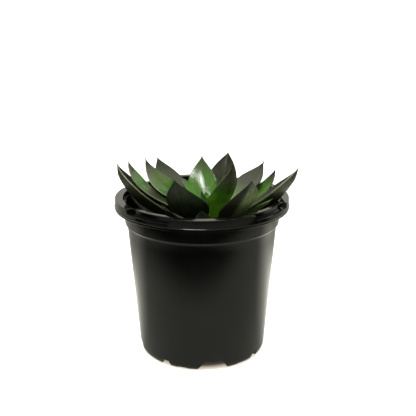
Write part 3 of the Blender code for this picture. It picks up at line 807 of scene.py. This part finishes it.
def make_pot():
    """The pot, with its drain holes cut."""
    piece = add_piece("pot_moulding", pot_body(), pot_material(), "pot",
                      POT_SHARP_ANGLE)
    cutters = drain_cutters()
    boolean = piece.modifiers.new("drains", "BOOLEAN")
    boolean.operation = "DIFFERENCE"
    boolean.object = cutters
    bpy.context.view_layer.update()
    graph = bpy.context.evaluated_depsgraph_get()
    piece.data = bpy.data.meshes.new_from_object(piece.evaluated_get(graph))
    piece.modifiers.clear()
    bpy.data.objects.remove(cutters, do_unlink=True)
    return piece


def soil_height(x, y):
    """Top of the potting mix, the same mound and lumps as the solid, plus crumbs."""
    reach = sqrt(x * x + y * y) / COLLAR_RADIUS
    waves = sin(x / LUMP_WIDTH) * cos(y / LUMP_DEPTH + LUMP_SHIFT)
    waves += SLANTED_SHARE * sin((x + 2 * y) / SLANTED_LUMP)
    crumbs = noise.fractal(Vector((x, y, 0.0)) * CRUMB_SCALE, *CRUMB_NOISE) * CRUMB_RELIEF
    return SOIL_TOP + SOIL_MOUND * (1 - reach * reach) + SOIL_LUMP * waves + crumbs


def soil_body():
    """A filled pot's worth of mix with a crumbled top."""
    floor_z = FLOOR_HEIGHT + FLOOR_THICKNESS + GAP
    clearance = WALL_THICKNESS + GAP
    corner_z = floor_z + FLOOR_CORNER
    edge = outer_radius(SOIL_TOP) - clearance
    hole_x = PLANT_X - POT_X
    bm = bmesh.new()

    def ring(radius, z, centre=0.0, bumpy=False):
        made = []
        for step in range(SOIL_STEPS):
            spot = direction(2 * pi * step / SOIL_STEPS) * radius
            x = centre + spot.x
            height = soil_height(x, spot.y) if bumpy else z
            made.append(bm.verts.new((POT_X + x, spot.y, height)))
        return made

    rings = [
        ring(outer_radius(floor_z) - clearance - FLOOR_CORNER, floor_z),
        ring(outer_radius(corner_z) - clearance, corner_z),
    ]
    for row in range(SOIL_ROWS + 1):
        share = row / SOIL_ROWS
        radius = edge + (STEM_HOLE_RADIUS - edge) * share
        rings.append(ring(radius, 0.0, hole_x * share, True))
    rings.append(ring(STEM_HOLE_RADIUS, STEM_PROFILE[0][0] * MM - GAP, hole_x))
    join_rings(bm, rings)
    return bm


# Loose crumbs: sizes are in millimetres, a width, a height, the lift and the jitter in
# crumb sizes, and the tilt in radians. No crumb lies at the pot's middle or its wall.
CRUMB_COUNT = 900
CRUMB_SEED = 11
CRUMB_MARGIN = 2.5 * MM
CRUMB_SPREAD = (0.03, 1.0)
CRUMB_SIZES = (0.4, 1.5)
CRUMB_WIDTHS = (0.5, 1.0)
CRUMB_HEIGHTS = (0.4, 0.8)
CRUMB_LIFT = 0.25
CRUMB_TILT = 0.5
CRUMB_JITTER = 0.18
PALE_CRUMB_SHARE = 0.06
PALE_CRUMB_SIZES = (0.5, 1.3)


def scatter_crumbs(bm, tint):
    """Loose crumbs of peat and bark and a few pale grains, half sunk in the mix."""
    draw = random.Random(CRUMB_SEED)
    edge = outer_radius(SOIL_TOP) - WALL_THICKNESS - CRUMB_MARGIN
    for _ in range(CRUMB_COUNT):
        radius = edge * sqrt(draw.uniform(*CRUMB_SPREAD))
        spot = direction(draw.uniform(0, 2 * pi)) * radius
        pale = draw.random() < PALE_CRUMB_SHARE
        size = draw.uniform(*(PALE_CRUMB_SIZES if pale else CRUMB_SIZES)) * MM
        squeeze = Vector((1.0, draw.uniform(*CRUMB_WIDTHS), draw.uniform(*CRUMB_HEIGHTS)))
        z = soil_height(spot.x, spot.y) + size * CRUMB_LIFT
        place = Matrix.Translation((POT_X + spot.x, spot.y, z))
        turn = Matrix.Rotation(draw.uniform(0, 2 * pi), 4, "Z")
        tilt = Matrix.Rotation(draw.uniform(-CRUMB_TILT, CRUMB_TILT), 4, "X")
        shape = Matrix.Diagonal((*(squeeze * size), 1.0))
        matrix = place @ (turn @ tilt) @ shape
        made = bmesh.ops.create_icosphere(bm, subdivisions=1, radius=1.0, matrix=matrix)
        for vert in made["verts"]:
            jitter = Vector([draw.uniform(-1, 1) for _ in range(3)])
            vert.co += jitter * size * CRUMB_JITTER
            vert[tint] = 1.0 if pale else 0.0


def make_soil():
    """The potting mix with its crumbs; the tint attribute marks the pale ones."""
    bm = soil_body()
    tint = bm.verts.layers.float.new("tint")
    scatter_crumbs(bm, tint)
    return add_piece("soil_crumbs", bm, soil_material(), "soil")


def stem_radius(height):
    """Radius of the stem in metres at a height in millimetres."""
    return interpolate(STEM_PROFILE, height) * MM


# The scars' spacing is in millimetres up the stem, and they waver in lobes round it.
STEM_ROWS = 70
STEM_STEPS = 48
SCAR_SPACING = 2.6
SCAR_DEPTH = 0.35 * MM
SCAR_WAVER = 1.4
SCAR_LOBES = 3


def make_stem():
    """The stem, ringed with the low ridges that fallen leaves left."""
    bm = bmesh.new()
    low = STEM_PROFILE[0][0]
    high = STEM_PROFILE[-1][0]
    rings = []
    for row in range(STEM_ROWS + 1):
        height = low + (high - low) * row / STEM_ROWS
        ring = []
        for step in range(STEM_STEPS):
            angle = 2 * pi * step / STEM_STEPS
            waver = SCAR_WAVER * sin(SCAR_LOBES * angle)
            wave = sin(2 * pi * height / SCAR_SPACING + waver)
            radius = stem_radius(height) - SCAR_DEPTH * (1 + wave) / 2
            out = direction(angle) * radius
            ring.append(bm.verts.new((PLANT_X + out.x, out.y, height * MM)))
        rings.append(ring)
    join_rings(bm, rings)
    return add_piece("stem_bark", bm, stem_material(), "stem", STEM_SHARP_ANGLE)


def leaf_width(leaf, share):
    """Half width of a leaf in metres at a share of its length."""
    if share < leaf.widest:
        neck = leaf.neck / leaf.width
        part = neck + (1 - neck) * smooth(share / leaf.widest) ** leaf.waist
    else:
        along = (share - leaf.widest) / (1 - leaf.widest)
        part = max((1 - along) ** leaf.taper * (1 + leaf.taper * along), TIP_WIDTH)
    return part * leaf.width * MM / 2


def leaf_thickness(leaf, share):
    """Thickness at the midrib in metres at a share of the leaf's length."""
    swell = sin(pi * min(max(share, 0.0) / SWELL_END, 1.0))
    part = ROOT_THICKNESS + (1 - ROOT_THICKNESS) * swell
    part *= 1 - TIP_THINNING * max(0.0, (share - TIP_START) / (1 - TIP_START)) ** TIP_CURVE
    width = leaf_width(leaf, share) * 2 / (leaf.width * MM)
    slimming = min(1.0, SLIMMEST + SLIM_SLOPE * width)
    return part * slimming * leaf.thick * MM


def leaf_stations(leaf):
    """Centre, direction and side of the leaf at each ring, in the leaf's own frame."""
    steps = LEAF_RINGS * 2
    centre = Vector((0.0, 0.0, 0.0))
    stations = []
    for step in range(steps + 1):
        share = step / steps
        azimuth = radians(leaf.turn) * share
        rise = radians(leaf.rise + (leaf.tip_rise - leaf.rise) * share ** leaf.bend)
        along = direction(azimuth, rise)
        side = Vector((cos(azimuth), sin(azimuth), 0.0))
        if step == 0:
            inner_share = -ROOT_OVERLAP / (leaf.length * MM)
            stations.append((inner_share, centre - along * ROOT_OVERLAP, along, side))
        if step % 2 == 0:
            stations.append((share, centre.copy(), along, side))
        centre += along * leaf.length * MM / steps
    return stations


def shrunk(ring, size, shift):
    """A copy of a ring of (point, across, under), shrunk about its middle and shifted."""
    middle = sum((point for point, _, _ in ring), Vector()) / len(ring)
    return [(middle + (point - middle) * size + shift, across, under)
            for point, across, under in ring]


def leaf_ring(leaf, share, centre, along, side, phase):
    """Section of the leaf as (point, across, under), upper face first, with round edges."""
    up = along.cross(side)
    roll = radians(leaf.roll) * sqrt(max(share, 0.0))
    across = side * cos(roll) + up * sin(roll)
    up = up * cos(roll) - side * sin(roll)
    half = leaf_width(leaf, share)
    thick = leaf_thickness(leaf, share)
    edge = min(LEAF_EDGE, thick)
    fold = leaf.fold * min(1.0, ROOT_FOLD + FOLD_SLOPE * max(share, 0.0))
    round_from = 1.0 - min(0.5, edge / 2 / half)
    upper = []
    lower = []
    for index in range(FACE_POINTS):
        place = sin(pi / 2 * (2 * index / (FACE_POINTS - 1) - 1))
        lift = fold * half * (sqrt(place * place + MIDRIB_ROUNDING ** 2) - MIDRIB_ROUNDING)
        turn = MARGIN_WAVE_TURN * share + phase + (MARGIN_WAVE_SHIFT if place > 0 else 0.0)
        lift += MARGIN_WAVE * place * place * sin(turn)
        depth = edge + (thick - edge) * (1 - place * place)
        past = max(0.0, (abs(place) - round_from) / (1 - round_from))
        shown = depth * sqrt(max(0.0, 1 - past * past))
        spot = centre + across * place * half
        upper.append((spot + up * (lift - (depth - shown) / 2), place, 0.0))
        lower.append((spot + up * (lift - (depth + shown) / 2), place, 1.0))
    return upper + lower[-2:0:-1]


def grow_leaf(bm, leaf, phase, layers, place):
    """Add one leaf to a mesh, moved by the place matrix."""
    across_layer, along_layer, under_layer = layers
    outlines = []
    for share, centre, along, side in leaf_stations(leaf):
        outlines.append((share, leaf_ring(leaf, share, centre, along, side, phase)))
    outlines.append((1.0, shrunk(outlines[-1][1], TIP_CAP_WIDTH, along * TIP_CAP)))
    rings = []
    for share, outline in outlines:
        ring = []
        for point, across, under in outline:
            vert = bm.verts.new(place @ point)
            vert[across_layer] = across
            vert[along_layer] = min(max(share, 0.0), 1.0)
            vert[under_layer] = under
            ring.append(vert)
        rings.append(ring)
    join_rings(bm, rings)


def leaf_layers(bm):
    """The attributes that tell the skin's material where on the leaf it is."""
    return [bm.verts.layers.float.new(name) for name in ("across", "along", "under")]


def leaf_place(leaf, root_radius):
    """Where a leaf's root stands, and the way it faces."""
    azimuth = radians(leaf.azimuth)
    root = direction(azimuth) * root_radius + Vector((PLANT_X, 0.0, leaf.height * MM))
    return Matrix.Translation(root) @ Matrix.Rotation(azimuth, 4, "Z")


def make_leaf(leaf, index):
    """One leaf; its index sets how its margins wave and where its streaks fall."""
    bm = bmesh.new()
    place = leaf_place(leaf, stem_radius(leaf.height) + ROOT_CLEARANCE)
    grow_leaf(bm, leaf, index * LEAF_WAVE_STEP, leaf_layers(bm), place)
    name = leaf.name + "_skin"
    look = LOOKS.get(leaf.name, PLAIN_LOOK)
    material = leaf_material(name, look, index * LEAF_SEED_STEP)
    return add_piece(name, bm, material, leaf.name)


def make_crown_bud():
    """The young leaves, grown out of a small dome."""
    bm = bmesh.new()
    layers = leaf_layers(bm)
    for index, leaf in enumerate(BUD_LEAVES):
        place = leaf_place(leaf, BUD_ROOT_RADIUS)
        grow_leaf(bm, leaf, index * YOUNG_WAVE_STEP, layers, place)
    base = STEM_PROFILE[-1][0]
    rings = []
    for lift, radius in BUD_PROFILE:
        ring = []
        for step in range(STEM_STEPS):
            out = direction(2 * pi * step / STEM_STEPS) * radius * MM
            ring.append(bm.verts.new((PLANT_X + out.x, out.y, (base + lift) * MM)))
        rings.append(ring)
    join_rings(bm, rings)
    material = leaf_material("crown_bud_skin", LOOKS["crown_bud"], BUD_SEED)
    return add_piece("crown_bud_skin", bm, material, "crown_bud")


def add_camera():
    """The camera at the photograph's viewing angle."""
    data = bpy.data.cameras.new("camera")
    data.sensor_width = SENSOR_WIDTH
    data.lens = FOCAL_PIXELS / PHOTO_SIZE * SENSOR_WIDTH
    camera = new_object("camera", data)
    camera.location = (PLANT_X, -CAMERA_DISTANCE, CAMERA_HEIGHT)
    camera.rotation_euler = (radians(90.0 - CAMERA_PITCH), 0.0, 0.0)
    bpy.context.scene.camera = camera


# The floor glows, but hardly under the pot: there it carries a painted shadow, tinted warm.
# The ranges are of the distance from the pot's axis.
FLOOR_REACH = 6.0
FLOOR_COLOUR = (0.92, 0.90, 0.88, 1.0)
FLOOR_GLOW_RANGE = (FOOT_RADIUS - 7.0 * MM, FOOT_RADIUS + 1.0 * MM, 0.02, 0.7)
FLOOR_TINT_RANGE = (FOOT_RADIUS, FOOT_RADIUS + 4.0 * MM)
FLOOR_TINT = (1.0, 1.0, 1.0)
UNDER_POT_SHADOW_TINT = (1.0, 0.88, 0.70)

# A light's last value says if the gloss mirrors it.
Lamp = namedtuple("Lamp", "name place size power mirrored")
LAMPS = [
    Lamp("overhead", (0.0, 0.05, 0.95), (0.7, 0.7), 3.5, False),
    Lamp("front_top", (-0.12, -0.42, 0.88), (0.30, 0.18), 3.6, True),
]
LIGHT_AIM = (0.0, 0.0, 0.11)

# The world's light: what the camera sees of it, then its levels in front, beside and
# behind, and the shares towards +Y between which one passes into the next.
BACKGROUND_LIGHT = 1.2
WORLD_LEVELS = (0.25, 0.70, 1.35)
FRONT_TO_SIDE = (-0.75, -0.15)
SIDE_TO_BACK = (0.0, 0.8)

# The room as the gloss mirrors it: its levels in front, beside and behind, its ceiling, and
# the low light that shows past the table's front edge. The ranges are heights in room radii.
ROOM_LEVELS = (0.04, 0.06, 0.85)
CEILING_LIGHT = 0.36
CEILING_RANGE = (0.4, 0.85)
LOW_LIGHT_RANGE = (-0.06, 0.02, 0.26, 0.0)
ROOM_RADIUS = 3.0
ROOM_SUBDIVISIONS = 4
MIRRORED_TINT = (1.0, 0.99, 0.86)

# The table as the gloss mirrors it. In front it darkens away from the pot as far as its
# edge, less quickly to the sides and least to the right. Behind the pot it fades outwards.
MIRRORED_TABLE_HEIGHT = 0.1 * MM
TABLE_MIDDLE_X = 0.05
TABLE_STRETCH = 0.6
TABLE_FRONT_RANGE = (0.12, 0.21, 0.50, 0.01)
TABLE_BACK_RANGE = (0.08, 0.22, 1.9, 0.55)
TABLE_BACK_START = (-0.08, 0.12)
TABLE_END_Y = -0.47


def add_sheet(name, corners, material):
    """A flat rectangle of the stage."""
    bm = bmesh.new()
    bm.faces.new([bm.verts.new(corner) for corner in corners])
    mesh = mesh_from(name, bm)
    mesh.materials.append(material)
    sheet = new_object(name, mesh)
    return sheet


def floor_corners(front_y, z):
    """Corners of a level rectangle that reaches far back and to both sides."""
    far = FLOOR_REACH
    return [(-far, front_y, z), (far, front_y, z), (far, far, z), (-far, far, z)]


def add_floor():
    """A large white floor, bright enough to meet the background without an edge, with a painted
    shadow under the pot.
    """
    fixed = {"Base Color": FLOOR_COLOUR, "Roughness": 1.0, "Specular IOR Level": 0.0}
    material, nodes = new_material("white_floor", fixed)
    away = nodes.add("ShaderNodeVectorMath", {"operation": "DISTANCE"},
                     {0: nodes.position(), 1: (POT_X, 0.0, 0.0)}).outputs["Value"]
    # Painted shadow: the glow fades out under the pot, and its colour turns warm there.
    nodes.surface("Emission Strength", nodes.remap(away, *FLOOR_GLOW_RANGE))
    outside = nodes.remap(away, *FLOOR_TINT_RANGE)
    nodes.surface("Emission Color", nodes.mix(outside, UNDER_POT_SHADOW_TINT, FLOOR_TINT))
    floor = add_sheet("floor", floor_corners(-FLOOR_REACH, 0.0), material)
    floor.visible_glossy = False


def glowing_material(name, colour, strength_at):
    """A plain light whose strength is worked out from the place on it."""
    material = bpy.data.materials.new(name)
    material.use_nodes = True
    tree = material.node_tree
    tree.nodes.remove(tree.nodes["Principled BSDF"])
    nodes = Nodes(tree)
    place = nodes.add("ShaderNodeSeparateXYZ", None, {0: nodes.position()})
    glow = nodes.add("ShaderNodeEmission", None, {"Strength": strength_at(nodes, place)})
    nodes.feed(glow.inputs["Color"], (*colour, 1.0))
    nodes.feed(tree.nodes["Material Output"].inputs["Surface"], glow.outputs[0])
    return material


def only_mirrored(thing):
    """Only reflections see this part of the stage."""
    thing.visible_camera = False
    thing.visible_diffuse = False
    thing.visible_shadow = False
    thing.visible_transmission = False


def table_light(nodes, place):
    """Strength of the mirrored table's light at a place on it."""
    sideways = nodes.math("MULTIPLY_ADD", place.outputs["X"], TABLE_STRETCH,
                          -TABLE_MIDDLE_X * TABLE_STRETCH)
    spot = nodes.combine(sideways, place.outputs["Y"], 0.0)
    reach = nodes.add("ShaderNodeVectorMath", {"operation": "LENGTH"}, {0: spot})
    reach = reach.outputs["Value"]
    front = nodes.remap(reach, *TABLE_FRONT_RANGE)
    back_level = nodes.remap(reach, *TABLE_BACK_RANGE)
    behind = nodes.remap(place.outputs["Y"], *TABLE_BACK_START, 0.0, back_level)
    return nodes.math("MAXIMUM", front, behind)


def add_mirrored_table():
    """The mirrored table: bright round the pot, dark towards the viewer."""
    material = glowing_material("mirrored_table", MIRRORED_TINT, table_light)
    corners = floor_corners(TABLE_END_Y, MIRRORED_TABLE_HEIGHT)
    only_mirrored(add_sheet("mirrored_table", corners, material))


def light_around(nodes, back, levels):
    """Light in front, beside and behind; back is the share towards +Y."""
    front_level, side_level, back_level = levels
    sides = nodes.remap(back, *FRONT_TO_SIDE, front_level, side_level)
    behind = nodes.remap(back, *SIDE_TO_BACK, 0.0, back_level - side_level)
    return nodes.math("ADD", sides, behind)


def choose(nodes, share, first, second):
    """A number that goes from the first to the second with the share."""
    inputs = {0: share, 2: first, 3: second}
    return nodes.add("ShaderNodeMix", {"data_type": "FLOAT"}, inputs).outputs[0]


def room_light(nodes, place):
    """Strength of the mirrored room's light at a place on it."""
    back = nodes.math("DIVIDE", place.outputs["Y"], ROOM_RADIUS)
    height = nodes.math("DIVIDE", place.outputs["Z"], ROOM_RADIUS)
    around = light_around(nodes, back, ROOM_LEVELS)
    upper = choose(nodes, nodes.remap(height, *CEILING_RANGE), around, CEILING_LIGHT)
    return nodes.math("ADD", upper, nodes.remap(height, *LOW_LIGHT_RANGE))


def add_mirrored_room():
    """The mirrored room: dim in front and beside, brighter behind and overhead."""
    bm = bmesh.new()
    bmesh.ops.create_icosphere(bm, subdivisions=ROOM_SUBDIVISIONS, radius=ROOM_RADIUS)
    mesh = mesh_from("mirrored_room", bm)
    mesh.materials.append(glowing_material("mirrored_room", MIRRORED_TINT, room_light))
    room = new_object("mirrored_room", mesh)
    only_mirrored(room)


def add_world():
    """White to the camera; its light is bright behind, softer beside and dim in front."""
    world = bpy.data.worlds.new("studio")
    bpy.context.scene.world = world
    world.use_nodes = True
    nodes = Nodes(world.node_tree)
    background = world.node_tree.nodes["Background"]
    nodes.feed(background.inputs["Color"], (1.0, 1.0, 1.0, 1.0))
    way = nodes.add("ShaderNodeTexCoord").outputs["Generated"]
    back = nodes.add("ShaderNodeSeparateXYZ", None, {0: way}).outputs["Y"]
    camera_ray = nodes.add("ShaderNodeLightPath").outputs["Is Camera Ray"]
    around = light_around(nodes, back, WORLD_LEVELS)
    strength = choose(nodes, camera_ray, around, BACKGROUND_LIGHT)
    nodes.feed(background.inputs["Strength"], strength)


def add_lamp(lamp):
    """A rectangular light aimed at the plant."""
    data = bpy.data.lights.new(lamp.name, "AREA")
    data.shape = "RECTANGLE"
    data.size, data.size_y = lamp.size
    data.energy = lamp.power
    light = new_object(lamp.name, data)
    light.location = lamp.place
    aim = Vector(LIGHT_AIM) - Vector(lamp.place)
    light.rotation_euler = aim.to_track_quat("-Z", "Y").to_euler()
    light.visible_glossy = lamp.mirrored


def main():
    """The plant in its pot, then the stage, the lights and the camera."""
    make_pot()
    make_soil()
    make_stem()
    for index, leaf in enumerate(LARGE_LEAVES + LOW_LEAVES):
        make_leaf(leaf, index)
    for index, leaf in enumerate(DRY_LEAVES, DRY_LEAF_START):
        make_leaf(leaf, index)
    make_crown_bud()
    add_floor()
    add_mirrored_table()
    add_mirrored_room()
    add_world()
    for lamp in LAMPS:
        add_lamp(lamp)
    add_camera()
    bpy.context.scene.view_settings.view_transform = "Standard"


main()
